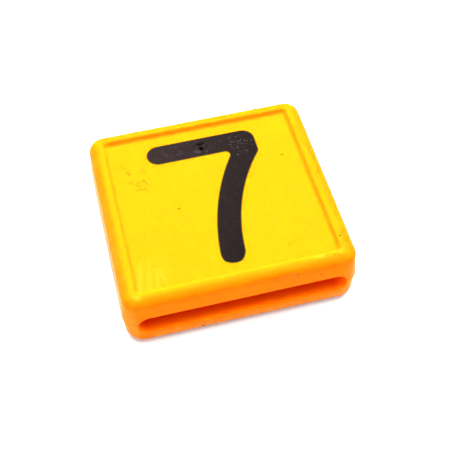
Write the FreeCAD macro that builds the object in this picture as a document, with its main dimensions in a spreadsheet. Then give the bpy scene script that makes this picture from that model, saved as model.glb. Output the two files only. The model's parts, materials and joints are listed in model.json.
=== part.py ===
import FreeCAD, Part

import math
import os

import Sketcher

# Collar number tag: a moulded block with a slot for a neck strap and a numeral let into its face. All lengths
# are millimetres. The origin is the middle of the underside, +Z points out of the numbered face, X runs along
# the slot's width and Y along the strap. The block is one moulding whose two halves meet half way up the slot.
# The numeral is a second moulding, which fills its seat in the face and lies flush with it.

SIZES = {
    # Block, measured at the parting plane, where it is largest
    "block_width": 48.4,
    "block_depth": 46.85,
    "block_height": 13.8,
    "parting_height": 6.4,
    "upper_corner_radius": 3.7,
    "lower_corner_radius": 4.1,
    "upper_draft_angle": 3.6,
    "lower_draft_angle": 2.9,
    "top_edge_radius": 2.1,
    "base_edge_radius": 2.2,
    # Sunk face inside the raised rim, whose widths are taken from the parting plane's edge
    "side_rim_width": 3.43,
    "end_rim_width": 3.0,
    "face_depth": 0.95,
    "face_wall_angle": 30.0,
    "face_corner_radius": 0.55,
    "face_foot_radius": 0.9,
    "rim_edge_radius": 0.7,
    # Slot for the strap, round at both ends, with eased mouths
    "slot_width": 42.7,
    "slot_height": 4.4,
    "slot_mouth_radius": 0.4,
    # Numeral seven, measured from the block's middle: a bar with a round end and a stem between two long arcs
    "numeral_depth": 1.5,
    "numeral_width": 23.8,
    "numeral_top": 17.05,
    "numeral_bottom": 17.35,
    "bar_stroke": 5.05,
    "shoulder_radius": 2.6,
    "shoulder_drop": 6.55,
    "shoulder_nose_radius": 1.2,
    "crotch_inset": 5.2,
    "crotch_radius": 1.1,
    "stem_outer_radius": 45.5,
    "stem_inner_radius": 55.5,
    "foot_width": 4.92,
    "foot_offset": 0.06,
    "sole_radius": 2.84,
    "toe_radius": 3.7,
    # Mark of the moulding gate in the middle of the numeral's bar: a shallow dish with the runner's stub in it
    "gate_dish_radius": 1.5,
    "gate_dish_depth": 0.16,
    "gate_stub_radius": 0.3,
    "gate_stub_height": 0.1,
}

TOLERANCE = 1e-4
UP = FreeCAD.Vector(0, 0, 1)

# A sketch's own names for the points of a curve and for its origin
START, END, CENTRE = range(1, 4)
ORIGIN_POINT = (-1, START)

QUARTER_TURN = math.pi / 2
HALF_TURN = math.pi
FULL_TURN = 2 * math.pi


def make_sheet(doc):
    """Put each driving dimension in a cell of its own, named by its alias."""
    sheet = doc.addObject("Spreadsheet::Sheet", "sizes")
    for row, (alias, value) in enumerate(SIZES.items(), start=1):
        sheet.set(f"A{row}", alias)
        sheet.set(f"B{row}", str(value))
        sheet.setAlias(f"B{row}", alias)
    doc.recompute()
    return sheet


def bind(thing, **expressions):
    """Tie properties of an object to the sheet."""
    for name, expression in expressions.items():
        thing.setExpression(name, expression)


def make_sketch(body, name, plane_role, **offsets):
    """Start a sketch on one of the body's own planes, moved along x, y and z of that plane by expressions."""
    sketch = body.newObject("Sketcher::SketchObject", name)
    plane = next(item for item in body.Origin.OriginFeatures if item.Role == plane_role)
    sketch.AttachmentSupport = [(plane, "")]
    sketch.MapMode = "FlatFace"
    for axis, expression in offsets.items():
        sketch.setExpression(f"AttachmentOffset.Base.{axis}", expression)
    return sketch


def add_line(sketch, start, end):
    """Draw a line between two points of the sketch."""
    return sketch.addGeometry(Part.LineSegment(FreeCAD.Vector(*start), FreeCAD.Vector(*end)), False)


def add_arc(sketch, centre, radius, start, end):
    """Draw an arc, anticlockwise from one angle to the other."""
    circle = Part.Circle(FreeCAD.Vector(*centre), UP, radius)
    return sketch.addGeometry(Part.ArcOfCircle(circle, start, end), False)


def add_point(sketch, place):
    """Mark a point that the outline is drawn from, without being part of it."""
    return sketch.addGeometry(Part.Point(FreeCAD.Vector(*place)), True)


def constrain(sketch, kind, *where):
    """Hold the sketch's geometry by a rule that has no size."""
    return sketch.addConstraint(Sketcher.Constraint(kind, *where))


def dimension(sketch, name, expression, kind, *where):
    """Hold the sketch's geometry by a size that comes from the sheet."""
    value = float(sketch.evalExpression(expression))
    index = sketch.addConstraint(Sketcher.Constraint(kind, *where, value))
    sketch.renameConstraint(index, name)
    sketch.setExpression(f"Constraints.{name}", expression)


def join_smoothly(sketch, joints):
    """Join the ends of neighbouring curves so that each runs on into the next."""
    for joint in joints:
        constrain(sketch, "Tangent", *joint)


def draw_rounded_rectangle(sketch, width, depth, radius):
    """Draw a rectangle with round corners about the sketch's origin, its sizes given as expressions."""
    half_width = float(sketch.evalExpression(width)) / 2
    half_depth = float(sketch.evalExpression(depth)) / 2
    corner = float(sketch.evalExpression(radius))
    flat_width, flat_depth = half_width - corner, half_depth - corner
    back = add_line(sketch, (-flat_width, half_depth), (flat_width, half_depth))
    back_right = add_arc(sketch, (flat_width, flat_depth), corner, 0, QUARTER_TURN)
    right = add_line(sketch, (half_width, flat_depth), (half_width, -flat_depth))
    front_right = add_arc(sketch, (flat_width, -flat_depth), corner, -QUARTER_TURN, 0)
    front = add_line(sketch, (flat_width, -half_depth), (-flat_width, -half_depth))
    front_left = add_arc(sketch, (-flat_width, -flat_depth), corner, -HALF_TURN, -QUARTER_TURN)
    left = add_line(sketch, (-half_width, -flat_depth), (-half_width, flat_depth))
    back_left = add_arc(sketch, (-flat_width, flat_depth), corner, QUARTER_TURN, HALF_TURN)
    join_smoothly(sketch, (
        (back, END, back_right, END),
        (back_right, START, right, START),
        (right, END, front_right, END),
        (front_right, START, front, START),
        (front, END, front_left, END),
        (front_left, START, left, START),
        (left, END, back_left, END),
        (back_left, START, back, START),
    ))
    for level in (back, front):
        constrain(sketch, "Horizontal", level)
    for upright in (left, right):
        constrain(sketch, "Vertical", upright)
    for other in (front_right, front_left, back_left):
        constrain(sketch, "Equal", back_right, other)
    constrain(sketch, "Symmetric", back_right, CENTRE, front_left, CENTRE, *ORIGIN_POINT)
    dimension(sketch, "corner", radius, "Radius", back_right)
    dimension(sketch, "width", width, "DistanceX", left, START, right, START)
    dimension(sketch, "depth", depth, "DistanceY", front, START, back, START)


def draw_slot(sketch, width, height):
    """Draw a slot with half-round ends about the sketch's origin, its sizes given as expressions."""
    half_height = float(sketch.evalExpression(height)) / 2
    flat = float(sketch.evalExpression(width)) / 2 - half_height
    top = add_line(sketch, (-flat, half_height), (flat, half_height))
    right = add_arc(sketch, (flat, 0), half_height, -QUARTER_TURN, QUARTER_TURN)
    bottom = add_line(sketch, (flat, -half_height), (-flat, -half_height))
    left = add_arc(sketch, (-flat, 0), half_height, QUARTER_TURN, HALF_TURN + QUARTER_TURN)
    join_smoothly(sketch, (
        (top, END, right, END),
        (right, START, bottom, START),
        (bottom, END, left, END),
        (left, START, top, START),
    ))
    constrain(sketch, "Horizontal", top)
    constrain(sketch, "Symmetric", right, CENTRE, left, CENTRE, *ORIGIN_POINT)
    dimension(sketch, "height", height, "DistanceY", bottom, START, top, END)
    dimension(sketch, "flat", f"{width} - {height}", "DistanceX", left, CENTRE, right, CENTRE)


def arc_centre(first, second, radius):
    """Find the centre, on the right, of the circle through two points, the second one below the first."""
    run, rise = second[0] - first[0], second[1] - first[1]
    chord = math.hypot(run, rise)
    reach = math.sqrt(radius ** 2 - (chord / 2) ** 2)
    middle = ((first[0] + second[0]) / 2, (first[1] + second[1]) / 2)
    return middle[0] - rise / chord * reach, middle[1] + run / chord * reach


def angle_at(centre, point):
    """Give the direction from a centre to a point, from nought to a full turn."""
    return math.atan2(point[1] - centre[1], point[0] - centre[0]) % FULL_TURN


def draw_numeral(sketch):
    """Draw the outline of the seven, clockwise from the bar's upper edge."""
    size = SIZES
    right = size["numeral_width"] / 2
    top = size["numeral_top"]
    bar_low = top - size["bar_stroke"]
    bar_round = size["bar_stroke"] / 2
    shoulder = size["shoulder_radius"]
    nose = size["shoulder_nose_radius"]
    crotch = size["crotch_radius"]
    toe = size["toe_radius"]
    sole_radius = size["sole_radius"]
    foot = (-size["foot_offset"], sole_radius - size["numeral_bottom"])
    shoulder_corner = (right, top - size["shoulder_drop"])
    crotch_corner = (right - size["crotch_inset"], bar_low)
    foot_right = (foot[0] + size["foot_width"] / 2, foot[1])
    foot_left = (foot[0] - size["foot_width"] / 2, foot[1])
    outer_centre = arc_centre(shoulder_corner, foot_right, size["stem_outer_radius"])
    inner_centre = arc_centre(crotch_corner, foot_left, size["stem_inner_radius"])
    outer_top, outer_low = (angle_at(outer_centre, point) for point in (shoulder_corner, foot_right))
    inner_top, inner_low = (angle_at(inner_centre, point) for point in (crotch_corner, foot_left))
    inset = toe - size["foot_width"] / 2
    sole_turn = math.acos((toe ** 2 - sole_radius ** 2 - inset ** 2) / (2 * sole_radius * inset))
    toe_turn = math.asin(sole_radius * math.sin(sole_turn) / toe)

    # The curves start near their places, and the constraints below bring them to the sizes exactly
    upper = add_line(sketch, (-right + bar_round, top), (right - shoulder, top))
    bend = add_arc(sketch, (right - shoulder, top - shoulder), shoulder, 0, QUARTER_TURN)
    side = add_line(sketch, (right, top - shoulder), (right, shoulder_corner[1] + nose))
    knuckle = add_arc(sketch, (right - nose, shoulder_corner[1] + nose / 2), nose,
                      outer_top + HALF_TURN, FULL_TURN)
    outer = add_arc(sketch, outer_centre, size["stem_outer_radius"], outer_top, outer_low)
    toe_right = add_arc(sketch, (foot_right[0] - toe, foot[1]), toe, -toe_turn, 0)
    sole = add_arc(sketch, foot, sole_radius, HALF_TURN + sole_turn, FULL_TURN - sole_turn)
    toe_left = add_arc(sketch, (foot_left[0] + toe, foot[1]), toe, HALF_TURN, HALF_TURN + toe_turn)
    inner = add_arc(sketch, inner_centre, size["stem_inner_radius"], inner_top, inner_low)
    armpit = add_arc(sketch, (crotch_corner[0] - 2 * crotch, bar_low - crotch), crotch,
                     inner_top - HALF_TURN, QUARTER_TURN)
    lower = add_line(sketch, (crotch_corner[0] - 2 * crotch, bar_low), (-right + bar_round, bar_low))
    tail = add_arc(sketch, (-right + bar_round, top - bar_round), bar_round,
                   QUARTER_TURN, HALF_TURN + QUARTER_TURN)
    join_smoothly(sketch, (
        (upper, END, bend, END),
        (bend, START, side, START),
        (side, END, knuckle, END),
        (knuckle, START, outer, START),
        (outer, END, toe_right, END),
        (toe_left, START, inner, END),
        (inner, START, armpit, START),
        (armpit, END, lower, START),
        (lower, END, tail, END),
        (tail, START, upper, START),
    ))
    constrain(sketch, "Horizontal", upper)
    constrain(sketch, "Horizontal", lower)
    constrain(sketch, "Vertical", side)
    constrain(sketch, "Coincident", toe_right, START, sole, END)
    constrain(sketch, "Coincident", sole, START, toe_left, END)
    constrain(sketch, "Equal", toe_right, toe_left)

    # Bar
    dimension(sketch, "top", "sizes.numeral_top", "DistanceY", *ORIGIN_POINT, upper, START)
    dimension(sketch, "stroke", "sizes.bar_stroke", "DistanceY", lower, END, upper, START)
    dimension(sketch, "right", "sizes.numeral_width / 2", "DistanceX", *ORIGIN_POINT, side, START)
    left_reach = "(sizes.numeral_width - sizes.bar_stroke) / 2"
    dimension(sketch, "left", left_reach, "DistanceX", tail, CENTRE, *ORIGIN_POINT)
    dimension(sketch, "bend", "sizes.shoulder_radius", "Radius", bend)

    # Corners that the stem's arcs start from
    shoulder_mark = add_point(sketch, shoulder_corner)
    constrain(sketch, "PointOnObject", shoulder_mark, START, side)
    constrain(sketch, "PointOnObject", shoulder_mark, START, outer)
    dimension(sketch, "drop", "sizes.shoulder_drop", "DistanceY", shoulder_mark, START, upper, END)
    dimension(sketch, "knuckle", "sizes.shoulder_nose_radius", "Radius", knuckle)
    crotch_mark = add_point(sketch, crotch_corner)
    constrain(sketch, "PointOnObject", crotch_mark, START, lower)
    constrain(sketch, "PointOnObject", crotch_mark, START, inner)
    dimension(sketch, "inset", "sizes.crotch_inset", "DistanceX", crotch_mark, START, shoulder_mark, START)
    dimension(sketch, "armpit", "sizes.crotch_radius", "Radius", armpit)

    # Stem and foot
    dimension(sketch, "outer", "sizes.stem_outer_radius", "Radius", outer)
    dimension(sketch, "inner", "sizes.stem_inner_radius", "Radius", inner)
    dimension(sketch, "sole", "sizes.sole_radius", "Radius", sole)
    dimension(sketch, "toe", "sizes.toe_radius", "Radius", toe_right)
    dimension(sketch, "foot_x", "sizes.foot_offset", "DistanceX", sole, CENTRE, *ORIGIN_POINT)
    foot_level = "sizes.numeral_bottom - sizes.sole_radius"
    dimension(sketch, "foot_y", foot_level, "DistanceY", sole, CENTRE, *ORIGIN_POINT)
    constrain(sketch, "Horizontal", sole, CENTRE, outer, END)
    constrain(sketch, "Symmetric", inner, END, outer, END, sole, CENTRE)
    dimension(sketch, "foot", "sizes.foot_width / 2", "DistanceX", sole, CENTRE, outer, END)


def draw_gate(sketch):
    """Draw half the section of the gate's dish, from the face down, with the runner's stub standing in it."""
    size = SIZES
    rim = size["gate_dish_radius"]
    stub = size["gate_stub_radius"]
    depth = size["gate_dish_depth"]
    stub_top = size["gate_stub_height"] - depth
    radius = (rim ** 2 + depth ** 2) / (2 * depth)
    centre = (0, radius - depth)
    lid = add_line(sketch, (0, 0), (rim, 0))
    dish = add_arc(sketch, centre, radius, angle_at(centre, (stub, -depth)), angle_at(centre, (rim, 0)))
    side = add_line(sketch, (stub, -depth), (stub, stub_top))
    roof = add_line(sketch, (stub, stub_top), (0, stub_top))
    axis = add_line(sketch, (0, stub_top), (0, 0))
    for joint in (
        (lid, END, dish, END),
        (dish, START, side, START),
        (side, END, roof, START),
        (roof, END, axis, START),
        (axis, END, lid, START),
    ):
        constrain(sketch, "Coincident", *joint)
    constrain(sketch, "Coincident", lid, START, *ORIGIN_POINT)
    constrain(sketch, "Horizontal", lid)
    constrain(sketch, "Horizontal", roof)
    constrain(sketch, "Vertical", side)
    constrain(sketch, "Vertical", axis)
    constrain(sketch, "Vertical", dish, CENTRE, *ORIGIN_POINT)
    dimension(sketch, "rim", "sizes.gate_dish_radius", "DistanceX", lid, START, lid, END)
    dimension(sketch, "stub", "sizes.gate_stub_radius", "DistanceX", roof, END, roof, START)
    dish_radius = "(sizes.gate_dish_radius ^ 2 + sizes.gate_dish_depth ^ 2) / (2 * sizes.gate_dish_depth)"
    dimension(sketch, "sweep", dish_radius, "Radius", dish)
    stub_drop = "sizes.gate_dish_depth - sizes.gate_stub_height"
    dimension(sketch, "drop", stub_drop, "DistanceY", axis, START, axis, END)


def edge_names(shape, wanted):
    """Name the edges of a shape whose bounding box passes a test."""
    return [f"Edge{number}" for number, edge in enumerate(shape.Edges, start=1) if wanted(edge.BoundBox)]


def round_edges(body, name, wanted, radius):
    """Round those edges of the body, as it stands, whose bounding box passes a test."""
    base = body.Tip
    fillet = body.newObject("PartDesign::Fillet", name)
    fillet.Base = (base, edge_names(base.Shape, wanted))
    bind(fillet, Radius=radius)
    body.Document.recompute()


def raise_half(body, name, reach, corner, draft, downwards):
    """Raise or lower one half of the block from the parting plane, narrowed by its draft."""
    outline = make_sketch(body, f"{name}_outline", "XY_Plane", z="sizes.parting_height")
    draw_rounded_rectangle(outline, "sizes.block_width", "sizes.block_depth", corner)
    half = body.newObject("PartDesign::Pad", name)
    half.Profile = outline
    half.Reversed = downwards
    bind(half, Length=reach, TaperAngle=f"-{draft}")
    body.Document.recompute()


def cut_away(body, kind, name, outline, settings, expressions):
    """Cut a sketch's outline out of the body, and make sure that it removed something."""
    before = body.Tip.Shape.Volume if body.Tip else 0
    feature = body.newObject(kind, name)
    feature.Profile = outline
    for setting, value in settings.items():
        setattr(feature, setting, value)
    bind(feature, **expressions)
    body.Document.recompute()
    if feature.Shape.Volume > before - TOLERANCE:
        raise RuntimeError(f"{name} removed nothing")


def open_slot(body, name):
    """Cut the strap's slot through one half of the block, and ease its mouths."""
    outline = make_sketch(body, f"{name}_outline", "XZ_Plane", y="sizes.parting_height")
    draw_slot(outline, "sizes.slot_width", "sizes.slot_height")
    cut_away(body, "PartDesign::Pocket", name, outline, {"Type": "ThroughAll", "Midplane": True}, {})
    reach = SIZES["slot_width"] / 2 + TOLERANCE
    wall = "(sizes.block_width - sizes.slot_width) / 2"
    low = SIZES["parting_height"] - SIZES["slot_height"] / 2 - TOLERANCE
    high = SIZES["parting_height"] + SIZES["slot_height"] / 2 + TOLERANCE
    round_edges(body, f"{name}_mouths",
                lambda box: (-reach < box.XMin and box.XMax < reach and low < box.ZMin and box.ZMax < high
                             and box.YLength < SIZES["slot_height"]),
                f"min(sizes.slot_mouth_radius; {wall} / 5)")


def make_lower_half(doc):
    """Model the half of the block below the parting plane, with its rolled edge and its side of the slot."""
    body = doc.addObject("PartDesign::Body", "lower_block")
    raise_half(body, "lower_half", "sizes.parting_height",
               "sizes.lower_corner_radius", "sizes.lower_draft_angle", True)
    round_edges(body, "rolled_base", lambda box: box.ZMax < TOLERANCE, "sizes.base_edge_radius")
    open_slot(body, "lower_slot")
    return body


def make_block(doc):
    """Model the block: the upper half with its sunk face, joined to the lower, and the numeral's seat."""
    body = doc.addObject("PartDesign::Body", "tag_block")
    top = SIZES["block_height"]
    raise_half(body, "upper_half", "sizes.block_height - sizes.parting_height",
               "sizes.upper_corner_radius", "sizes.upper_draft_angle", False)
    round_edges(body, "rolled_top", lambda box: box.ZMin > top - TOLERANCE,
                "min(sizes.top_edge_radius; 0.72 * sizes.end_rim_width; 0.72 * sizes.side_rim_width)")

    # The face's walls lean outwards from its floor to the rim
    face = make_sketch(body, "face_outline", "XY_Plane", z="sizes.block_height - sizes.face_depth")
    wall_run = "sizes.face_depth * tan(sizes.face_wall_angle * 1 deg)"
    draw_rounded_rectangle(face, f"sizes.block_width - 2 * (sizes.side_rim_width + {wall_run})",
                           f"sizes.block_depth - 2 * (sizes.end_rim_width + {wall_run})",
                           "sizes.face_corner_radius")
    cut_away(body, "PartDesign::Pocket", "sunk_face", face, {"Reversed": True},
             {"Length": "sizes.face_depth", "TaperAngle": "sizes.face_wall_angle"})

    # The walls run smoothly up from the floor and over into the rim: the two roundings share their slope
    slope = "sizes.face_depth / cos(sizes.face_wall_angle * 1 deg)"
    bend = "tan(45 deg - sizes.face_wall_angle * 0.5 deg)"
    rim_reach = SIZES["block_width"] / 2 - SIZES["side_rim_width"] + TOLERANCE
    floor_level = top - SIZES["face_depth"]
    round_edges(body, "face_foot",
                lambda box: abs(box.ZMin - floor_level) < TOLERANCE and box.ZLength < TOLERANCE,
                f"min(sizes.face_foot_radius; 0.51 * {slope} / {bend}; 0.95 * sizes.face_corner_radius / {bend})")
    round_edges(body, "rim_edge", lambda box: box.ZMin > top - TOLERANCE and box.XMax < rim_reach,
                f"min(sizes.rim_edge_radius; 0.42 * {slope} / {bend}; 0.24 * sizes.end_rim_width; "
                "0.24 * sizes.side_rim_width)")
    open_slot(body, "upper_slot")

    # The moulding is one solid, on which the two halves' corners leave a step at the parting plane
    joined = body.newObject("PartDesign::Boolean", "joined_halves")
    joined.Type = "Fuse"
    joined.setObjects([make_lower_half(doc)])
    doc.recompute()

    seat = make_sketch(body, "seat_outline", "XY_Plane", z="sizes.block_height - sizes.face_depth")
    draw_numeral(seat)
    cut_away(body, "PartDesign::Pocket", "numeral_seat", seat, {}, {"Length": "sizes.numeral_depth"})
    return body


def make_numeral(doc):
    """Model the numeral that fills its seat, flush with the face, with the gate's dish in its bar."""
    body = doc.addObject("PartDesign::Body", "number_seven")
    outline = make_sketch(body, "numeral_outline", "XY_Plane",
                          z="sizes.block_height - sizes.face_depth - sizes.numeral_depth")
    draw_numeral(outline)
    figure = body.newObject("PartDesign::Pad", "figure")
    figure.Profile = outline
    bind(figure, Length="sizes.numeral_depth")
    doc.recompute()

    gate = make_sketch(body, "gate_outline", "XZ_Plane", y="sizes.block_height - sizes.face_depth",
                       z="-(sizes.numeral_top - sizes.bar_stroke / 2)")
    draw_gate(gate)
    cut_away(body, "PartDesign::Groove", "gate_mark", gate, {"ReferenceAxis": (gate, ["V_Axis"])}, {})
    return body


def write_parts(doc, bodies):
    """Make sure that every object is sound, then write each body to a file of its own."""
    for thing in doc.Objects:
        if {"Invalid", "Error"} & set(thing.State):
            raise RuntimeError(f"{thing.Name} failed: {thing.State}")
    for body in bodies:
        if body.Shape.isNull() or not body.Shape.isValid():
            raise RuntimeError(f"{body.Label} is not a sound solid")
    os.makedirs("parts", exist_ok=True)
    for body in bodies:
        body.Shape.exportStep(f"parts/{body.Label}.step")
        print(f"{body.Label}: {body.Shape.Volume:.1f} mm3, {len(body.Shape.Faces)} faces")


def main():
    """Build the document and write its parts."""
    doc = FreeCAD.newDocument("collar_number_tag")
    make_sheet(doc)
    write_parts(doc, [make_block(doc), make_numeral(doc)])


main()
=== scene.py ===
"""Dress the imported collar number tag: a worn orange-yellow moulding with a black seven let into its face."""

import json
import logging
import math
import random
from collections.abc import Sequence
from dataclasses import dataclass, field
from enum import Enum

import bmesh
import bpy
from mathutils import Matrix, Vector
from mathutils.bvhtree import BVHTree
from mathutils.interpolate import poly_3d_calc

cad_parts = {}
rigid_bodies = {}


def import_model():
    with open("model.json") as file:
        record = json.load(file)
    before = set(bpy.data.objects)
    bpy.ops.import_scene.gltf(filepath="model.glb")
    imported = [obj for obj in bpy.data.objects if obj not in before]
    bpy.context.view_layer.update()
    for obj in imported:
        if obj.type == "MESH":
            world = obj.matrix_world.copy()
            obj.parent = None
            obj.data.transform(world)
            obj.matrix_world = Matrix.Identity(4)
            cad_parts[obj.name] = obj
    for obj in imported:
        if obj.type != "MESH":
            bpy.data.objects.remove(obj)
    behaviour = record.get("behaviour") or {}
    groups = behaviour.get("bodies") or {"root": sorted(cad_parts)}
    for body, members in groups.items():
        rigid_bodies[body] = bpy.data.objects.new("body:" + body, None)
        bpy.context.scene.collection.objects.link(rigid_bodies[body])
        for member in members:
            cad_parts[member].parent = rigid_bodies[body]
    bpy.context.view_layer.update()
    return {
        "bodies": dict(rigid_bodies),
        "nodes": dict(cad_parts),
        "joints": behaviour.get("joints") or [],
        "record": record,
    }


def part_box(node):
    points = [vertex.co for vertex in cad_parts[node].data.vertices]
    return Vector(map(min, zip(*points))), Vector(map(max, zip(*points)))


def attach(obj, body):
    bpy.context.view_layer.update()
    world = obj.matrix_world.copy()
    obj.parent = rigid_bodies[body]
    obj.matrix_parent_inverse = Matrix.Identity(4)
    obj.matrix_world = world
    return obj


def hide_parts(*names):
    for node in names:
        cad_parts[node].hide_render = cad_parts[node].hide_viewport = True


MM = 0.001
BODY = "root"
# Vertices nearer than this are joined.
MERGE_REACH = 0.001 * MM
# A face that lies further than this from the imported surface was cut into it.
SKIN_GAP = 0.003 * MM
# Shading is looked up this share of the way from a corner to its face's middle, clear of sharp edges.
CORNER_INSET = 0.02

log = logging.getLogger("number_tag")


class Slot(Enum):
    """The record's material slots."""

    YELLOW = "yellow_plastic"
    BLACK = "black_plastic"


class Side(Enum):
    """A side of the block: the way it faces, then the two ways that places on it are measured along."""

    TOP = (Vector((0, 0, 1)), Vector((1, 0, 0)), Vector((0, 1, 0)))
    FRONT = (Vector((0, -1, 0)), Vector((1, 0, 0)), Vector((0, 0, 1)))


class Grain(Enum):
    """A noise that varies the yellow surface: the size of its grains in millimetres, and its detail."""

    MOTTLE = (7.0, 3.0)
    PATCH = (1.3, 3.0)
    # Real orange peel is finer than a pixel of the photograph, so it is drawn at half a millimetre.
    PEEL = (0.5, 1.0)


def linear(colour: str) -> tuple[float, float, float, float]:
    """Turn an sRGB hex colour to linear light.

    Args:
        colour: The colour as six hex digits.

    Returns:
        Red, green and blue from nought to one, and an alpha of one.
    """
    shares = (int(colour[start:start + 2], 16) / 255 for start in (0, 2, 4))
    red, green, blue = (
        share / 12.92 if share <= 0.04045 else ((share + 0.055) / 1.055) ** 2.4 for share in shares)
    return red, green, blue, 1.0


def add_node(
    tree: bpy.types.NodeTree,
    kind: str,
    settings: dict[str, object] | None = None,
    inputs: dict[str | int, object] | None = None,
) -> bpy.types.Node:
    """Add a node, set it up, and link what it takes from other nodes.

    Args:
        tree: The node tree that the node goes into.
        kind: The node's Blender type.
        settings: Properties of the node itself.
        inputs: Values for its sockets; an output socket is linked instead of copied.

    Returns:
        The new node.
    """
    node = tree.nodes.new(kind)
    for name, value in (settings or {}).items():
        setattr(node, name, value)
    for name, value in (inputs or {}).items():
        socket = node.inputs[name]
        if isinstance(value, bpy.types.NodeSocket):
            tree.links.new(value, socket)
        else:
            socket.default_value = value
    return node


def start_material(name: str, values: dict[str, object]) -> tuple[bpy.types.Material, bpy.types.Node]:
    """Start a material with what is the same all over the surface.

    Args:
        name: The material's name.
        values: The values of its shader's sockets.

    Returns:
        The new material and its shader.
    """
    material = bpy.data.materials.new(name)
    material.use_nodes = True
    shader = material.node_tree.nodes["Principled BSDF"]
    for socket, value in values.items():
        shader.inputs[socket].default_value = value
    return material, shader


@dataclass(frozen=True)
class Mark:
    """A small blemish on one side: its place and sizes in millimetres, and its turn in degrees.

    It reaches its thickness above the surface, and as far below it.
    """

    side: Side
    across: float
    along: float
    length: float
    width: float
    thickness: float
    turn: float = 0.0


@dataclass
class Skin:
    """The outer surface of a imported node, on which places are looked up."""

    node: bpy.types.Object
    faces: list[list[Vector]] = field(init=False)
    shades: list[list[Vector]] = field(init=False)
    tree: BVHTree = field(init=False)

    def __post_init__(self) -> None:
        """Index the node's triangles in the row's frame."""
        mesh = self.node.data
        turn = self.node.matrix_world.to_3x3()
        places = [self.node.matrix_world @ vertex.co for vertex in mesh.vertices]
        corners = [list(face.vertices) for face in mesh.polygons]
        self.faces = [[places[index] for index in face] for face in corners]
        self.shades = [
            [turn @ mesh.corner_normals[loop].vector for loop in face.loop_indices] for face in mesh.polygons]
        self.tree = BVHTree.FromPolygons(places, corners)

    def seat(self, mark: Mark) -> Matrix:
        """Find where a mark sits.

        Args:
            mark: The mark.

        Returns:
            The mark's own frame, with z out of the surface, x along its length and its half sizes as scale.
        """
        outwards, across, along = mark.side.value
        start = (across * mark.across + along * mark.along) * MM + outwards
        place, normal, _, _ = self.tree.ray_cast(start, -outwards)
        if place is None:
            raise ValueError(f"{mark} lies beside the part")
        spun = Matrix.Rotation(math.radians(mark.turn), 3, outwards) @ across
        length_way = (spun - normal * spun.dot(normal)).normalized()
        frame = Matrix((length_way, normal.cross(length_way), normal)).transposed().to_4x4()
        half_sizes = Vector((mark.length, mark.width, 2 * mark.thickness)) * (MM / 2)
        return Matrix.Translation(place) @ frame @ Matrix.Diagonal(half_sizes).to_4x4()

    def shade(self, corner: Vector, inside: Vector) -> Vector:
        """Look up the smooth shading at the corner of a face.

        Args:
            corner: The corner.
            inside: A place on the same face beside the corner.

        Returns:
            The shading normal, or nought where the face was cut into the surface and isn't part of it.
        """
        _, _, index, gap = self.tree.find_nearest(inside)
        if gap > SKIN_GAP:
            return Vector()
        shares = poly_3d_calc(self.faces[index], corner)
        return sum((shade * share for shade, share in zip(self.shades[index], shares)), Vector()).normalized()

    def add_lenses(self, bm: bmesh.types.BMesh, marks: Sequence[Mark], fineness: int = 2) -> None:
        """Add a small round lens to a mesh for each mark, half of it under the surface."""
        for mark in marks:
            bmesh.ops.create_icosphere(bm, subdivisions=fineness, radius=1.0, matrix=self.seat(mark))


def copy_merged(node: bpy.types.Object) -> bmesh.types.BMesh:
    """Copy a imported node's mesh into the row's frame, with its loose triangles joined up.

    Args:
        node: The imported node, which stays as it is.

    Returns:
        The copy.
    """
    bm = bmesh.new()
    bm.from_mesh(node.data)
    bm.transform(node.matrix_world)
    bmesh.ops.remove_doubles(bm, verts=bm.verts, dist=MERGE_REACH)
    return bm


def cut_level(bm: bmesh.types.BMesh, height: float, way: int) -> None:
    """Cut a mesh at a height and throw one part away.

    Args:
        bm: The mesh.
        height: The cut's height in metres.
        way: 1 to throw away what is above the cut, -1 for what is below.
    """
    bmesh.ops.bisect_plane(
        bm, geom=[*bm.verts, *bm.edges, *bm.faces], dist=0.0, plane_co=(0.0, 0.0, height),
        plane_no=(0.0, 0.0, way), clear_outer=True)


def make_object(name: str, bm: bmesh.types.BMesh, material: bpy.types.Material) -> bpy.types.Object:
    """Turn a mesh under work into a smooth object at the origin.

    Args:
        name: The object's name.
        bm: The mesh, which is freed.
        material: Its one material.

    Returns:
        The new object, linked to the scene.
    """
    mesh = bpy.data.meshes.new(name)
    bm.to_mesh(mesh)
    bm.free()
    mesh.shade_smooth()
    mesh.materials.append(material)
    thing = bpy.data.objects.new(name, mesh)
    bpy.context.scene.collection.objects.link(thing)
    return thing


def settle(thing: bpy.types.Object) -> None:
    """Turn an object's modifiers into its mesh.

    Args:
        thing: The object, which keeps its name and its mesh's name.
    """
    scene_state = bpy.context.evaluated_depsgraph_get()
    settled = bpy.data.meshes.new_from_object(
        thing.evaluated_get(scene_state), preserve_all_data_layers=True, depsgraph=scene_state)
    thing.modifiers.clear()
    old = thing.data
    settled.name, old.name = old.name, "unsettled"
    thing.data = settled
    bpy.data.meshes.remove(old)


def carve(thing: bpy.types.Object, cutter: bpy.types.Object) -> None:
    """Cut one object out of another for good.

    Args:
        thing: The object that is cut.
        cutter: The object that is taken out of it and then thrown away.
    """
    modifier = thing.modifiers.new("carve", "BOOLEAN")
    modifier.operation = "DIFFERENCE"
    modifier.solver = "EXACT"
    modifier.use_self = True
    modifier.object = cutter
    settle(thing)
    bpy.data.meshes.remove(cutter.data)


def take_shading(thing: bpy.types.Object, skin: Skin) -> None:
    """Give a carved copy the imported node's own smooth shading, and leave what was cut into it its own.

    Args:
        thing: The carved copy.
        skin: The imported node's surface.
    """
    mesh = thing.data
    shades = []
    for face in mesh.polygons:
        for index in face.vertices:
            corner = mesh.vertices[index].co
            shades.append(skin.shade(corner, corner.lerp(face.center, CORNER_INSET)))
    mesh.normals_split_custom_set(shades)


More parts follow.
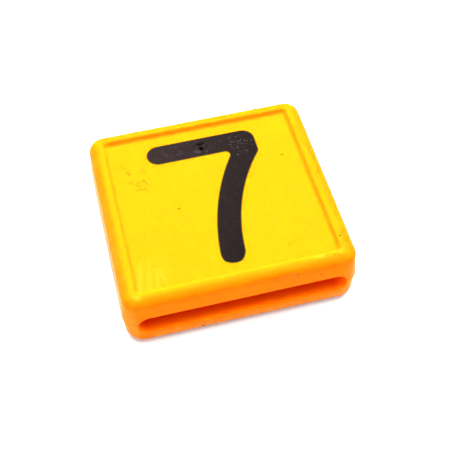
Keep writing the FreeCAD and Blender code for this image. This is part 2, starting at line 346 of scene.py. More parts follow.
@dataclass(frozen=True)
class Stroke:
    """A rubbed or soiled streak on one side: its ends and half its width in millimetres, and its strength.

    A strength past one gives it a firmer edge.
    """

    x0: float
    y0: float
    x1: float
    y1: float
    reach: float
    strength: float

    def mask(self, tree: bpy.types.NodeTree, place: bpy.types.NodeSocket) -> bpy.types.NodeSocket:
        """Mask the streak, fading out all round it.

        Args:
            tree: The material's node tree.
            place: The place on the object.

        Returns:
            The streak's strength along its middle, and nought beyond its reach.
        """
        middle = Vector((self.x0 + self.x1, self.y0 + self.y1, 0.0)) * (MM / 2)
        run = Vector((self.x1 - self.x0, self.y1 - self.y0, 0.0)) * MM
        turned = add_node(tree, "ShaderNodeMapping", {"vector_type": "TEXTURE"}, {
            "Vector": place, "Location": middle, "Rotation": (0.0, 0.0, math.atan2(run.y, run.x))})
        split = add_node(tree, "ShaderNodeSeparateXYZ", inputs={0: turned.outputs[0]})
        ahead = add_node(tree, "ShaderNodeMath", {"operation": "ABSOLUTE"}, {0: split.outputs["X"]})
        past = add_node(tree, "ShaderNodeMath", {"operation": "SUBTRACT"}, {
            0: ahead.outputs[0], 1: run.length / 2})
        beyond = add_node(tree, "ShaderNodeMath", {"operation": "MAXIMUM"}, {0: past.outputs[0], 1: 0.0})
        offset = add_node(tree, "ShaderNodeCombineXYZ", inputs={
            "X": beyond.outputs[0], "Y": split.outputs["Y"]})
        gap = add_node(tree, "ShaderNodeVectorMath", {"operation": "LENGTH"}, {0: offset.outputs[0]})
        return add_node(tree, "ShaderNodeMapRange", {"interpolation_type": "SMOOTHSTEP"}, {
            "Value": gap.outputs["Value"], "From Min": self.reach * MM, "From Max": 0.0,
            "To Max": self.strength}).outputs[0]


@dataclass(frozen=True)
class Layer:
    """Wear or soil of one colour: streaks on one side, broken up by a grain.

    It is bare where the grain's noise is under the first level and whole past the second.
    """

    colour: str
    side: Side
    grain: Grain
    levels: tuple[float, float]
    strokes: tuple[Stroke, ...]

    def mask(
        self,
        tree: bpy.types.NodeTree,
        place: bpy.types.NodeSocket,
        reach: bpy.types.NodeSocket,
        noise: bpy.types.NodeSocket,
    ) -> bpy.types.NodeSocket:
        """Mask the layer.

        Args:
            tree: The material's node tree.
            place: The place on the object, with x and y as the layer's side sees them.
            reach: The part of the surface that the side takes in.
            noise: The grain's noise.

        Returns:
            The strength of the strongest streak, broken up.
        """
        mask, *others = (stroke.mask(tree, place) for stroke in self.strokes)
        for other in others:
            mask = add_node(tree, "ShaderNodeMath", {"operation": "MAXIMUM"}, {0: mask, 1: other}).outputs[0]
        shown = add_node(tree, "ShaderNodeMapRange", inputs={
            "Value": noise, "From Min": self.levels[0], "From Max": self.levels[1]})
        for share in (shown.outputs[0], reach):
            mask = add_node(tree, "ShaderNodeMath", {"operation": "MULTIPLY"}, {0: mask, 1: share}).outputs[0]
        return mask


@dataclass(frozen=True)
class MouldedPolyurethane:
    """Injection-moulded orange polyurethane, worn by years on a strap.

    Lengths are in millimetres, and each pair of numbers is a range.
    """

    # A saturated orange, which the photograph's strong light turns yellow.
    colour: str = "f97503"
    ior: float = 1.5
    # Wear has dulled the gloss, and left a skin that hardly mirrors the lights.
    specular: float = 0.006
    roughness: tuple[float, float] = (0.34, 0.5)
    # It lets red light through, so the slot glows red inside.
    translucency: float = 0.7
    scatter: tuple[float, float, float] = (8.0, 0.4, 0.05)
    # A haze of fine dust pales what is seen at a slant.
    haze: float = 0.1
    haze_roughness: float = 0.3
    # The shade wanders a little from place to place.
    mottle_shades: tuple[float, float] = (0.965, 1.035)
    # Orange peel roughens the surface a little.
    peel_strength: float = 0.12
    peel_depth: float = 0.02
    # Painted shade darkens the rims.
    rim_inset: float = 2.6
    rim_fade: float = 1.0
    rim_painted_shade: float = 0.2
    # The top's wear fades out between these depths below the face, the front's between these behind the wall.
    depth_below_face: tuple[float, float] = (1.5, 0.2)
    depth_behind_front: tuple[float, float] = (6.0, 3.0)

    def material(
        self, half_sizes: Vector, face_level: float, layers: tuple[Layer, ...]
    ) -> bpy.types.Material:
        """Build the material.

        Args:
            half_sizes: Half the block's width and depth in metres.
            face_level: The height of the sunk face in metres.
            layers: The wear and soil, each over the one before.

        Returns:
            The new material.
        """
        material, shader = start_material("moulded_polyurethane", {
            "IOR": self.ior,
            "Specular IOR Level": self.specular,
            "Subsurface Weight": self.translucency,
            "Subsurface Radius": self.scatter,
            "Subsurface Scale": MM,
            "Sheen Weight": self.haze,
            "Sheen Roughness": self.haze_roughness,
        })
        tree = material.node_tree
        place = add_node(tree, "ShaderNodeTexCoord").outputs["Object"]
        noises = {
            grain: add_node(tree, "ShaderNodeTexNoise", inputs={
                "Vector": place, "Scale": 1 / (grain.value[0] * MM), "Detail": grain.value[1]}).outputs["Fac"]
            for grain in Grain
        }
        across, along, up = add_node(tree, "ShaderNodeSeparateXYZ", inputs={0: place}).outputs
        from_front = add_node(tree, "ShaderNodeCombineXYZ", inputs={0: across, 1: up, 2: along}).outputs[0]
        near_face = add_node(tree, "ShaderNodeMapRange", inputs={
            "Value": up, "From Min": face_level - self.depth_below_face[0] * MM,
            "From Max": face_level - self.depth_below_face[1] * MM}).outputs[0]
        near_front = add_node(tree, "ShaderNodeMapRange", inputs={
            "Value": along, "From Min": self.depth_behind_front[0] * MM - half_sizes[1],
            "From Max": self.depth_behind_front[1] * MM - half_sizes[1]}).outputs[0]
        views = {Side.TOP: (place, near_face), Side.FRONT: (from_front, near_front)}

        base = linear(self.colour)
        for layer in layers:
            mask = layer.mask(tree, *views[layer.side], noises[layer.grain])
            base = add_node(tree, "ShaderNodeMix", {"data_type": "RGBA"}, {
                "Factor": mask, 6: base, 7: linear(layer.colour)}).outputs[2]
        # Painted shade: the rims, down to about the face's level, are darkened.
        on_rim = self.rim_mask(tree, (across, along), half_sizes)
        rim_shade_mask = add_node(tree, "ShaderNodeMath", {"operation": "MULTIPLY"}, {0: on_rim, 1: near_face})
        rim_shade_factor = add_node(tree, "ShaderNodeMapRange", inputs={
            "Value": rim_shade_mask.outputs[0], "To Min": 1.0, "To Max": 1 - self.rim_painted_shade})
        mottle = add_node(tree, "ShaderNodeMapRange", inputs={
            "Value": noises[Grain.MOTTLE], "To Min": self.mottle_shades[0], "To Max": self.mottle_shades[1]})
        shade = add_node(tree, "ShaderNodeMath", {"operation": "MULTIPLY"}, {
            0: rim_shade_factor.outputs[0], 1: mottle.outputs[0]})
        shaded = add_node(tree, "ShaderNodeVectorMath", {"operation": "SCALE"}, {
            0: base, "Scale": shade.outputs[0]})
        rough = add_node(tree, "ShaderNodeMapRange", inputs={
            "Value": noises[Grain.MOTTLE], "To Min": self.roughness[0], "To Max": self.roughness[1]})
        bump = add_node(tree, "ShaderNodeBump", inputs={
            "Strength": self.peel_strength, "Distance": self.peel_depth * MM, "Height": noises[Grain.PEEL]})
        for output, socket in ((shaded, "Base Color"), (rough, "Roughness"), (bump, "Normal")):
            tree.links.new(output.outputs[0], shader.inputs[socket])
        return material

    def rim_mask(
        self,
        tree: bpy.types.NodeTree,
        ways: tuple[bpy.types.NodeSocket, bpy.types.NodeSocket],
        half_sizes: Vector,
    ) -> bpy.types.NodeSocket:
        """Mask the block's outer border.

        Args:
            tree: The material's node tree.
            ways: How far a place is across and along the object.
            half_sizes: Half the block's width and depth in metres.

        Returns:
            One on the rims and walls, nought on the face.
        """
        sides = []
        for way, reach in zip(ways, half_sizes):
            inner = reach - self.rim_inset * MM
            distance = add_node(tree, "ShaderNodeMath", {"operation": "ABSOLUTE"}, {0: way})
            sides.append(add_node(tree, "ShaderNodeMapRange", inputs={
                "Value": distance.outputs[0], "From Min": inner,
                "From Max": inner + self.rim_fade * MM}).outputs[0])
        by_side, by_end = sides
        return add_node(tree, "ShaderNodeMath", {"operation": "MAXIMUM"}, {0: by_side, 1: by_end}).outputs[0]


@dataclass(frozen=True)
class BlackPolyurethane:
    """The numeral's moulded black polyurethane, dulled and dusty. Lengths are in millimetres."""

    # A warm black without a shine, which stands out hard from the yellow.
    colour: str = "150f0f"
    ior: float = 1.5
    specular: float = 0.006
    roughness: float = 0.4
    # Dust greys it. Its specks are finer than a pixel of the photograph, so they are drawn at 0.7 mm.
    dust_colour: str = "241d1e"
    dust_size: float = 0.7
    dust_detail: float = 4.0
    dust_levels: tuple[float, float] = (0.5, 0.8)
    dust_share: float = 0.5
    # Painted light: palest at the bar's left end and darker to the foot, by the slope's share per millimetre.
    painted_light_middle: float = 0.96
    painted_light_slope: tuple[float, float, float] = (-0.03, 0.016, 0.0)

    def material(self) -> bpy.types.Material:
        """Build the material.

        Returns:
            The new material.
        """
        material, shader = start_material("moulded_black_polyurethane", {
            "IOR": self.ior, "Specular IOR Level": self.specular, "Roughness": self.roughness})
        tree = material.node_tree
        place = add_node(tree, "ShaderNodeTexCoord").outputs["Object"]
        dust = add_node(tree, "ShaderNodeTexNoise", inputs={
            "Vector": place, "Scale": 1 / (self.dust_size * MM), "Detail": self.dust_detail})
        share = add_node(tree, "ShaderNodeMapRange", inputs={
            "Value": dust.outputs["Fac"], "From Min": self.dust_levels[0], "From Max": self.dust_levels[1],
            "To Max": self.dust_share})
        base = add_node(tree, "ShaderNodeMix", {"data_type": "RGBA"}, {
            "Factor": share.outputs[0], 6: linear(self.colour), 7: linear(self.dust_colour)})
        # Painted light: the base is lightened towards the bar's left end and darkened towards the foot.
        slope = add_node(tree, "ShaderNodeVectorMath", {"operation": "DOT_PRODUCT"}, {
            0: place, 1: Vector(self.painted_light_slope) / MM})
        shade = add_node(tree, "ShaderNodeMath", {"operation": "ADD"}, {
            0: slope.outputs["Value"], 1: self.painted_light_middle})
        shaded = add_node(tree, "ShaderNodeVectorMath", {"operation": "SCALE"}, {
            0: base.outputs[2], "Scale": shade.outputs[0]})
        tree.links.new(shaded.outputs[0], shader.inputs["Base Color"])
        return material


@dataclass(frozen=True)
class PlainFinish:
    """A dull finish of one colour, for marks too small to show any grain, and for the board."""

    name: str
    colour: str
    roughness: float
    specular: float = 0.02
    glow: float = 0.0

    def material(self) -> bpy.types.Material:
        """Build the material.

        Returns:
            The new material.
        """
        material, _ = start_material(self.name, {
            "Base Color": linear(self.colour),
            "Roughness": self.roughness,
            "Specular IOR Level": self.specular,
            "Emission Color": (1.0, 1.0, 1.0, 1.0),
            "Emission Strength": self.glow,
        })
        return material


# Dried soil is matt and nearly black: it reads as dark grains on the yellow.
DRIED_SOIL = PlainFinish("dried_soil", "262a05", roughness=0.9)
# Where soil is spread thinly along the joint it is olive, and softens the numeral's outline.
JOINT_SOIL = PlainFinish("soil_in_the_joint", "5c5205", roughness=0.9)
# Scuffed polyurethane is greyer than its skin: it reads as pale hairlines on the black.
# It also gives the painted highlights on the gate's rim.
SCUFFED_AND_HIGHLIGHT_BLACK = PlainFinish("scuffed_black_and_painted_highlight", "3a3434", roughness=0.7)
# A greasy smear lifts the black only a little.
SMEARED_BLACK = PlainFinish("smeared_black_polyurethane", "261f20", roughness=0.6)
# Painted shade in the gate's pits: a black darker than the numeral's skin.
GATE_SHADE_BLACK = PlainFinish("painted_shade_black", "080606", roughness=0.7)
# A white board lit from below leaves almost no shadow on it.
LIT_BOARD = PlainFinish("lit_board", "b8b8b8", roughness=0.9, specular=0.1, glow=0.3)


@dataclass
class TagBlock:
    """The worn moulding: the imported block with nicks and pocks, soil in them, and flash at its parting.

    The nicks lie in bands on the rims, each with its middle, its half spread and its count. Marks and nicks
    are in millimetres, and the parting's sizes in metres.
    """

    node: bpy.types.Object
    parting_height: float = 6.4 * MM
    flash_height: float = 0.2 * MM
    flash_reach: float = 0.06 * MM
    face_spot: Mark = Mark(Side.TOP, 0.0, -19.0, 1.0, 1.0, 1.0)
    nick_seed: int = 7
    nick_bands: tuple[tuple[tuple[float, float], tuple[float, float], int], ...] = (
        ((-22.3, -2.0), (0.7, 20.0), 26),
        ((22.3, -2.0), (0.6, 19.0), 6),
        ((0.0, 22.0), (20.0, 0.5), 8),
        ((18.0, -21.0), (3.5, 0.5), 8),
        ((-20.5, -21.2), (1.2, 0.6), 5),
    )
    nick_gap: float = 0.75
    pock_gap: float = 0.9
    nick_width: tuple[float, float] = (0.18, 0.42)
    nick_stretch: tuple[float, float] = (1.0, 1.8)
    nick_depth: tuple[float, float] = (0.03, 0.07)
    layers: tuple[Layer, ...] = (
        # The crests of the rims are worn paler, on the left and at both front corners.
        Layer("fb8c1e", Side.TOP, Grain.PATCH, (0.45, 0.65), (
            Stroke(-22.9, -18.0, -22.9, 6.0, 1.6, 0.45),
            Stroke(-21.8, -20.0, -20.6, -21.4, 1.0, 0.7),
            Stroke(15.5, -20.6, 20.6, -20.8, 0.9, 0.9),
            Stroke(20.6, -20.8, 21.6, -19.4, 0.9, 0.7),
        )),
        # The front left of the face is rubbed.
        Layer("fb8e28", Side.TOP, Grain.PEEL, (0.25, 0.5), (
            Stroke(-19.9, -19.3, -18.9, -14.6, 0.8, 0.3),
            Stroke(-18.9, -14.6, -18.5, -12.6, 0.7, 0.2),
            Stroke(-17.9, -19.3, -17.4, -15.4, 0.75, 0.32),
            Stroke(-17.4, -15.4, -16.8, -12.8, 0.7, 0.2),
            Stroke(-16.2, -19.4, -15.9, -16.4, 0.7, 0.25),
            Stroke(-16.4, -14.9, -15.4, -15.4, 0.65, 0.3),
            Stroke(-15.2, -15.5, -14.5, -17.8, 0.75, 0.3),
            Stroke(-15.4, -12.8, -14.8, -13.6, 0.6, 0.2),
        )),
        # The front wall is paler at its outer corners, and along its foot with a painted reflection of the
        # floor.
        Layer("fb9444", Side.FRONT, Grain.PATCH, (0.2, 0.55), (
            Stroke(-18.0, 2.2, 21.0, 2.2, 1.6, 0.4),
            Stroke(21.0, 2.6, 23.0, 4.5, 1.5, 0.5),
            Stroke(22.9, 4.5, 22.9, 8.5, 1.4, 0.6),
            Stroke(-22.6, 3.0, -22.6, 10.0, 1.4, 0.25),
        )),
        # Painted shade in the creases at the rims' feet; the rims' outer edges darker; soil in a few places on
        # the face.
        Layer("b0560a", Side.TOP, Grain.PATCH, (0.15, 0.5), (
            Stroke(-22.8, -19.0, -22.8, 19.0, 1.4, 0.38),
            Stroke(22.3, -11.0, 22.3, 19.0, 1.5, 0.18),
            Stroke(22.0, -20.0, 22.3, -16.0, 1.5, 0.5),
            Stroke(-20.5, -19.0, -20.5, 16.0, 0.7, 0.35),
            Stroke(-20.5, -17.0, -20.5, -8.0, 0.4, 0.3),
            Stroke(-19.0, 20.0, 19.5, 20.0, 0.8, 0.34),
            Stroke(20.4, -18.0, 20.4, 19.5, 0.7, 0.3),
            Stroke(-17.0, 8.9, -16.2, 8.0, 0.5, 0.4),
            Stroke(-15.8, 6.1, -15.6, 5.9, 0.6, 0.4),
            Stroke(-15.3, 7.3, -14.8, 6.7, 0.4, 0.35),
            Stroke(-13.9, 8.5, -13.9, 8.0, 0.4, 0.3),
            Stroke(-13.1, 10.5, -13.4, 11.7, 0.5, 0.32),
            Stroke(-12.4, 14.3, -12.2, 14.7, 0.5, 0.35),
            Stroke(-17.6, 13.0, -16.2, 11.6, 0.6, 0.18),
            Stroke(-15.9, 17.5, -15.6, 17.4, 0.5, 0.22),
            Stroke(12.0, -15.5, 12.6, -15.2, 0.5, 0.15),
            Stroke(9.0, -4.0, 10.5, -3.2, 0.4, 0.1),
        )),
        # Olive freckles of soil lie left of the bar and at the front right.
        Layer("726903", Side.TOP, Grain.PATCH, (0.57, 0.62), (
            Stroke(-16.8, 8.6, -14.8, 6.2, 1.9, 2.5),
            Stroke(-13.8, 7.6, -13.4, 10.8, 1.4, 2.0),
            Stroke(-12.4, 11.6, -10.6, 11.3, 0.9, 1.6),
            Stroke(-17.6, 13.0, -16.6, 10.4, 1.2, 1.3),
            Stroke(11.0, -15.6, 13.0, -15.2, 0.9, 1.3),
        )),
        # Round the larger grains the soil has spread into a film.
        Layer("726903", Side.TOP, Grain.PATCH, (0.0, 0.1), (
            Stroke(-8.3, -1.1, -8.1, -1.1, 0.45, 3.0),
            Stroke(16.4, 7.8, 16.6, 7.8, 0.4, 3.0),
            Stroke(-15.6, 7.3, -15.4, 7.3, 0.35, 2.0),
            Stroke(21.5, -17.1, 21.5, -16.9, 0.45, 3.0),
        )),
    )
    pocks: tuple[Mark, ...] = (
        Mark(Side.TOP, -8.2, -1.1, 0.5, 0.45, 0.08),
        Mark(Side.TOP, 16.5, 7.8, 0.5, 0.4, 0.07),
        Mark(Side.TOP, 21.5, -17.0, 0.5, 0.35, 0.08, 70.0),
        Mark(Side.TOP, 17.2, -21.0, 0.35, 0.3, 0.06),
        Mark(Side.TOP, 19.0, -21.3, 0.4, 0.35, 0.07),
        Mark(Side.TOP, 19.9, -21.4, 0.35, 0.3, 0.07),
        Mark(Side.TOP, -13.2, 21.9, 0.7, 0.35, 0.1),
        Mark(Side.TOP, -20.3, 21.9, 0.5, 0.3, 0.08, 20.0),
        Mark(Side.TOP, -3.2, 22.0, 0.5, 0.3, 0.08),
        Mark(Side.TOP, 14.2, 21.9, 0.7, 0.3, 0.08),
        Mark(Side.FRONT, 11.0, 12.4, 0.4, 0.35, 0.08),
        Mark(Side.FRONT, 15.7, 10.7, 0.35, 0.3, 0.08),
        Mark(Side.FRONT, -8.6, 1.9, 0.45, 0.35, 0.1),
        Mark(Side.FRONT, -20.5, 12.3, 0.7, 0.3, 0.05, 80.0),
        Mark(Side.FRONT, -21.8, 10.1, 0.6, 0.3, 0.05, 70.0),
        Mark(Side.FRONT, -22.4, 8.8, 0.5, 0.3, 0.05, 100.0),
        Mark(Side.FRONT, -21.1, 8.2, 0.5, 0.25, 0.05, 90.0),
    )
    grit: tuple[Mark, ...] = (
        Mark(Side.TOP, -8.2, -1.1, 0.24, 0.2, 0.04),
        Mark(Side.TOP, 16.5, 7.8, 0.22, 0.18, 0.04),
        Mark(Side.TOP, -15.5, 7.3, 0.14, 0.12, 0.03),
        Mark(Side.TOP, 21.5, -17.0, 0.2, 0.18, 0.04),
        Mark(Side.TOP, 17.2, -21.0, 0.27, 0.22, 0.05),
        Mark(Side.TOP, 19.0, -21.3, 0.3, 0.26, 0.05),
        Mark(Side.TOP, 19.9, -21.4, 0.27, 0.22, 0.05),
        Mark(Side.TOP, -13.2, 21.9, 0.85, 0.38, 0.06),
        Mark(Side.TOP, -20.3, 21.9, 0.57, 0.38, 0.06),
        Mark(Side.TOP, -3.2, 22.0, 0.57, 0.38, 0.06),
        Mark(Side.TOP, 14.2, 21.9, 0.85, 0.38, 0.06),
        Mark(Side.FRONT, 11.0, 12.4, 0.34, 0.28, 0.05),
        Mark(Side.FRONT, 15.7, 10.7, 0.36, 0.28, 0.05),
        Mark(Side.FRONT, -8.6, 1.9, 0.5, 0.4, 0.08),
    )

    def build(self) -> list[bpy.types.Object]:
        """Cut the worn block, lay the soil in its pocks and run the flash round its parting.

        Returns:
            The new pieces.
        """
        skin = Skin(self.node)
        _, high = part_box(self.node.name)
        face_level = skin.seat(self.face_spot).translation.z
        finish = MouldedPolyurethane().material(Vector(high[:2]), face_level, self.layers)
        return [self.cut_block(skin, finish), self.lay_grit(skin), self.run_flash(finish)]

    def cut_block(self, skin: Skin, finish: bpy.types.Material) -> bpy.types.Object:
        """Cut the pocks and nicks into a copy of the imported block, which then stands for it.

        Args:
            skin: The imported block's surface.
            finish: The yellow finish.

        Returns:
            The worn block.
        """
        block = make_object("worn_block", copy_merged(self.node), finish)
        cutters = bmesh.new()
        skin.add_lenses(cutters, [*self.pocks, *self.scatter_nicks()])
        carve(block, make_object("cutter", cutters, finish))
        take_shading(block, skin)
        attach(block, BODY)
        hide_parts(self.node.name)
        return block

    def scatter_nicks(self) -> list[Mark]:
        """Scatter small nicks along the rims, most of them on the left one.

        Returns:
            The nicks that lie clear of the pocks.
        """
        draw = random.Random(self.nick_seed)
        nicks = []
        for middle, spread, count in self.nick_bands:
            placed: list[tuple[float, float]] = []
            while len(placed) < count:
                x = middle[0] + draw.uniform(-1, 1) * spread[0]
                y = middle[1] + draw.uniform(-1, 1) * spread[1]
                if all(math.dist((x, y), other) > self.nick_gap for other in placed):
                    placed.append((x, y))
                    width = draw.uniform(*self.nick_width)
                    length = width * draw.uniform(*self.nick_stretch)
                    depth = draw.uniform(*self.nick_depth)
                    nicks.append(Mark(Side.TOP, x, y, length, width, depth, draw.uniform(0, 180)))
        taken = [(mark.across, mark.along) for mark in self.pocks if mark.side is Side.TOP]
        return [nick for nick in nicks
                if all(math.dist((nick.across, nick.along), pock) > self.pock_gap for pock in taken)]

    def lay_grit(self, skin: Skin) -> bpy.types.Object:
        """Lay grains of dried soil in the pocks.

        Args:
            skin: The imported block's surface.

        Returns:
            The grains as one piece.
        """
        bm = bmesh.new()
        skin.add_lenses(bm, self.grit)
        grit = make_object("soil_specks", bm, DRIED_SOIL.material())
        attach(grit, BODY)
        return grit

    def run_flash(self, finish: bpy.types.Material) -> bpy.types.Object:
        """Run a thin ridge of flash round each side wall, where the mould's halves met.

        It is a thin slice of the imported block, grown outwards and closed at the top and bottom.

        Args:
            finish: The yellow finish.

        Returns:
            The ridges as one piece.
        """
        bm = copy_merged(self.node)
        for way in (1, -1):
            cut_level(bm, self.parting_height + way * self.flash_height / 2, way)
        bm.normal_update()
        for vertex in bm.verts:
            vertex.co += vertex.normal * self.flash_reach
        bmesh.ops.holes_fill(bm, edges=[edge for edge in bm.edges if edge.is_boundary])
        flash = make_object("parting_flash", bm, finish)
        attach(flash, BODY)
        return flash


@dataclass
class NumberSeven:
    """The black numeral: the gate's scar in its bar, scuffs on its shoulder and soil in the joint round it.

    The joint's sizes are in metres, and the other sizes and places in millimetres.
    """

    node: bpy.types.Object
    joint_width: float = 0.2 * MM
    joint_depth: float = 0.1 * MM
    joint_rise: float = 0.006 * MM
    # A face counts as level when the height of its normal is more than this.
    level_from: float = 0.7
    gate: tuple[float, float] = (0.0, 15.0)
    gate_reach: float = 1.8
    pit_fineness: int = 3
    scratch_seed: int = 11
    scratch_count: int = 26
    shoulder: tuple[float, float] = (8.6, 13.0)
    shoulder_reach: tuple[float, float] = (2.7, 2.6)
    scratch_length: tuple[float, float] = (0.18, 0.6)
    scratch_width: tuple[float, float] = (0.07, 0.11)
    scratch_thickness: float = 0.02
    gate_pits: tuple[Mark, ...] = (
        Mark(Side.TOP, 0.05, 14.15, 1.05, 0.75, 0.6, 20.0),
        Mark(Side.TOP, -0.35, 14.6, 0.5, 0.4, 0.3, 40.0),
        Mark(Side.TOP, 0.1, 15.6, 2.2, 0.8, 0.22, 8.0),
        Mark(Side.TOP, -0.8, 15.5, 0.9, 0.6, 0.15, 30.0),
    )
    scuffs_and_gate_highlights: tuple[Mark, ...] = (
        Mark(Side.TOP, 6.6, 15.6, 1.1, 0.12, 0.02, -48.0),
        Mark(Side.TOP, 6.8, 14.35, 0.95, 0.12, 0.02, -37.0),
        Mark(Side.TOP, 6.2, 13.7, 0.3, 0.16, 0.02),
        Mark(Side.TOP, 8.35, 14.2, 0.35, 0.18, 0.02, 20.0),
        Mark(Side.TOP, 9.1, 14.5, 0.4, 0.11, 0.02, 80.0),
        Mark(Side.TOP, 9.7, 14.1, 0.32, 0.17, 0.02, 50.0),
        Mark(Side.TOP, 10.4, 13.85, 0.4, 0.13, 0.02, 75.0),
        Mark(Side.TOP, 7.75, 12.45, 1.0, 0.1, 0.02, 88.0),
        Mark(Side.TOP, 9.3, 11.1, 0.9, 0.11, 0.02, -4.0),
        Mark(Side.TOP, 9.55, 10.5, 0.3, 0.15, 0.02, 60.0),
        Mark(Side.TOP, 7.3, 10.35, 0.4, 0.3, 0.03),
        Mark(Side.TOP, -2.6, 16.4, 0.5, 0.13, 0.02, 8.0),
        Mark(Side.TOP, -7.6, 14.1, 0.3, 0.22, 0.02),
        # Painted highlights on the gate's rim.
        Mark(Side.TOP, -0.62, 15.1, 0.4, 0.15, 0.1, 30.0),
        Mark(Side.TOP, 0.72, 14.62, 0.4, 0.14, 0.1, 20.0),
        Mark(Side.TOP, -0.62, 13.95, 0.35, 0.12, 0.04, -40.0),
        Mark(Side.TOP, 0.35, 15.05, 0.3, 0.12, 0.08, -60.0),
    )
    # Painted shade: dark lenses filling the gate's pits, and two small ones beside them.
    gate_shade_marks: tuple[Mark, ...] = (
        Mark(Side.TOP, 0.15, 15.6, 1.9, 0.8, 0.23, 8.0),
        Mark(Side.TOP, 0.05, 14.2, 0.9, 0.65, 0.62, 20.0),
        Mark(Side.TOP, -1.5, 15.1, 0.5, 0.25, 0.02, 40.0),
        Mark(Side.TOP, 1.25, 14.75, 0.5, 0.22, 0.02, 75.0),
    )
    smears: tuple[Mark, ...] = (
        Mark(Side.TOP, -1.0, 13.35, 1.9, 0.9, 0.02, -18.0),
        Mark(Side.TOP, 0.95, 13.05, 0.9, 0.5, 0.02, 10.0),
        Mark(Side.TOP, -5.2, 13.6, 1.1, 0.3, 0.015, 5.0),
        Mark(Side.TOP, 4.4, 15.3, 1.0, 0.25, 0.015, -10.0),
    )

    def build(self) -> list[bpy.types.Object]:
        """Cut the worn numeral, and lay the scuffs, smears, painted shade, painted highlights and soil on it.

        Returns:
            The new pieces.
        """
        skin = Skin(self.node)
        return [
            self.cut_numeral(skin),
            self.lay_marks("seven_scuffs_and_highlights", skin, [*self.scuffs_and_gate_highlights, *self.scatter_scratches()], SCUFFED_AND_HIGHLIGHT_BLACK),
            self.lay_marks("seven_smears", skin, self.smears, SMEARED_BLACK),
            self.lay_marks("gate_painted_shade", skin, self.gate_shade_marks, GATE_SHADE_BLACK),
            self.lay_joint_soil(),
        ]

    def cut_numeral(self, skin: Skin) -> bpy.types.Object:
        """Cut the gate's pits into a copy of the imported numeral, which then stands for it.

        Args:
            skin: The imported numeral's surface.

        Returns:
            The worn numeral.
        """
        finish = BlackPolyurethane().material()
        numeral = make_object("worn_seven", copy_merged(self.node), finish)
        cutters = bmesh.new()
        skin.add_lenses(cutters, self.gate_pits, self.pit_fineness)
        carve(numeral, make_object("cutter", cutters, finish))
        take_shading(numeral, skin)
        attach(numeral, BODY)
        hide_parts(self.node.name)
        return numeral

    def scatter_scratches(self) -> list[Mark]:
        """Scatter fine scratches over the numeral's shoulder.

        Returns:
            The scratches.
        """
        draw = random.Random(self.scratch_seed)
        scratches = []
        for _ in range(self.scratch_count):
            turn = draw.uniform(0, math.tau)
            reach = math.sqrt(draw.random())
            x = self.shoulder[0] + self.shoulder_reach[0] * reach * math.cos(turn)
            y = self.shoulder[1] + self.shoulder_reach[1] * reach * math.sin(turn)
            length = draw.uniform(*self.scratch_length)
            width = draw.uniform(*self.scratch_width)
            scratches.append(
                Mark(Side.TOP, x, y, length, width, self.scratch_thickness, draw.uniform(0, 180)))
        return scratches

    def lay_marks(
        self, name: str, skin: Skin, marks: Sequence[Mark], finish: PlainFinish
    ) -> bpy.types.Object:
        """Lay marks of one finish on the numeral.

        Args:
            name: The piece's name.
            skin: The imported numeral's surface.
            marks: The marks.
            finish: Their finish.

        Returns:
            The marks as one piece.
        """
        bm = bmesh.new()
        skin.add_lenses(bm, marks)
        piece = make_object(name, bm, finish.material())
        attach(piece, BODY)
        return piece

    def lay_joint_soil(self) -> bpy.types.Object:
        """Lay the line of soil in the joint between the numeral and the face.

        It is the top of the numeral's walls, thickened outwards. The gate's own wall and whatever is level
        are left out.

        Returns:
            The line of soil.
        """
        bm = copy_merged(self.node)
        _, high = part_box(self.node.name)
        cut_level(bm, high[2] - self.joint_depth, -1)
        gate = Vector(self.gate) * MM
        left_out = [
            face for face in bm.faces
            if abs(face.normal.z) > self.level_from
            or (face.calc_center_median().xy - gate).length < self.gate_reach * MM
        ]
        bmesh.ops.delete(bm, geom=left_out, context="FACES")
        bmesh.ops.solidify(bm, geom=bm.faces[:], thickness=-self.joint_width)
        bmesh.ops.translate(bm, verts=bm.verts, vec=(0.0, 0.0, self.joint_rise))
        bmesh.ops.recalc_face_normals(bm, faces=bm.faces)
        soil = make_object("joint_soil", bm, JOINT_SOIL.material())
        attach(soil, BODY)
        return soil


@dataclass(frozen=True)
class Panel:
    """A soft light panel that faces the part: its place, width and height in metres, and its power."""

    name: str
    place: tuple[float, float, float]
    width: float
    height: float
    power: float

    def hang(self) -> None:
        """Hang the panel."""
        data = bpy.data.lights.new(self.name, "AREA")
        data.shape = "RECTANGLE"
        data.size = self.width
        data.size_y = self.height
        data.energy = self.power
        lamp = bpy.data.objects.new(self.name, data)
        place = Vector(self.place)
        lamp.matrix_world = Matrix.Translation(place) @ place.to_track_quat("Z", "Y").to_matrix().to_4x4()
        bpy.context.scene.collection.objects.link(lamp)


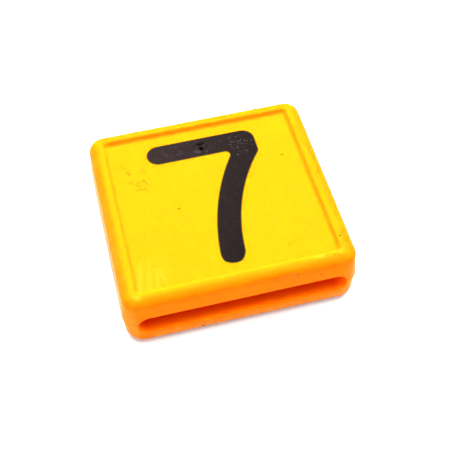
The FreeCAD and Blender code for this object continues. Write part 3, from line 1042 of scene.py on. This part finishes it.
@dataclass
class Studio:
    """A lit white table under a large soft box, with a narrow one at the front and a small one at the left.

    Angles are in degrees, and the camera's aim is given from the origin, to its right, up and level.
    """

    azimuth: float = -12.45
    elevation: float = 52.41
    roll: float = -1.99
    distance: float = 197.4 * MM
    focal_length: float = 72.42
    aim_right: float = 2.52 * MM
    aim_up: float = -2.99 * MM
    aim_height: float = 6.71 * MM
    floor_size: float = 3.0
    world_strength: float = 0.03
    panels: tuple[Panel, ...] = (
        Panel("soft_box", (0.18, 0.34, 1.13), 1.4, 1.4, 91.0),
        Panel("strip_box", (0.0, -0.38, 1.14), 1.4, 0.5, 5.5),
        Panel("left_box", (-1.1, -0.1, 0.3), 0.8, 0.4, 6.0),
    )

    def build(self) -> None:
        """Lay the floor, hang the lights and set up the camera."""
        self.lay_floor()
        self.hang_lights()
        self.place_camera()

    def lay_floor(self) -> None:
        """Lay a plain white table, lit from below, under the part."""
        bm = bmesh.new()
        bmesh.ops.create_grid(bm, x_segments=1, y_segments=1, size=self.floor_size / 2)
        make_object("floor", bm, LIT_BOARD.material())

    def hang_lights(self) -> None:
        """Hang the panels, and fill the room with a little white light."""
        for panel in self.panels:
            panel.hang()
        world = bpy.data.worlds.new("studio")
        world.use_nodes = True
        background = world.node_tree.nodes["Background"]
        background.inputs["Color"].default_value = (1.0, 1.0, 1.0, 1.0)
        background.inputs["Strength"].default_value = self.world_strength
        bpy.context.scene.world = world
        bpy.context.scene.view_settings.view_transform = "Standard"

    def place_camera(self) -> None:
        """Put the camera where the photograph was taken from."""
        turn, tilt, roll = (math.radians(angle) for angle in (self.azimuth, self.elevation, self.roll))
        back = Vector((math.sin(turn) * math.cos(tilt), -math.cos(turn) * math.cos(tilt), math.sin(tilt)))
        level = Vector((0.0, 0.0, 1.0)).cross(back).normalized()
        right = Matrix.Rotation(roll, 3, back) @ level
        up = back.cross(right)
        target = right * self.aim_right + up * self.aim_up + Vector((0.0, 0.0, self.aim_height))
        data = bpy.data.cameras.new("camera")
        data.lens = self.focal_length
        camera = bpy.data.objects.new("camera", data)
        camera.matrix_world = Matrix.Translation(target + back * self.distance) @ Matrix(
            (right, up, back)
        ).transposed().to_4x4()
        bpy.context.scene.collection.objects.link(camera)
        bpy.context.scene.camera = camera


def main() -> None:
    """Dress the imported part, report each new piece, and light it."""
    logging.basicConfig(level=logging.INFO, format="%(name)s: %(message)s")
    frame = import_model()
    nodes = frame["nodes"]
    for assembly in (TagBlock(nodes["tag_block"]), NumberSeven(nodes["number_seven"])):
        for piece in assembly.build():
            sizes = (size / MM for size in piece.dimensions)
            log.info("%s: %d faces, %.2f x %.2f x %.2f mm", piece.name, len(piece.data.polygons), *sizes)
    studio = Studio()
    studio.build()
    log.info("studio: %d lights", len(studio.panels))


if __name__ == "__main__":
    main()
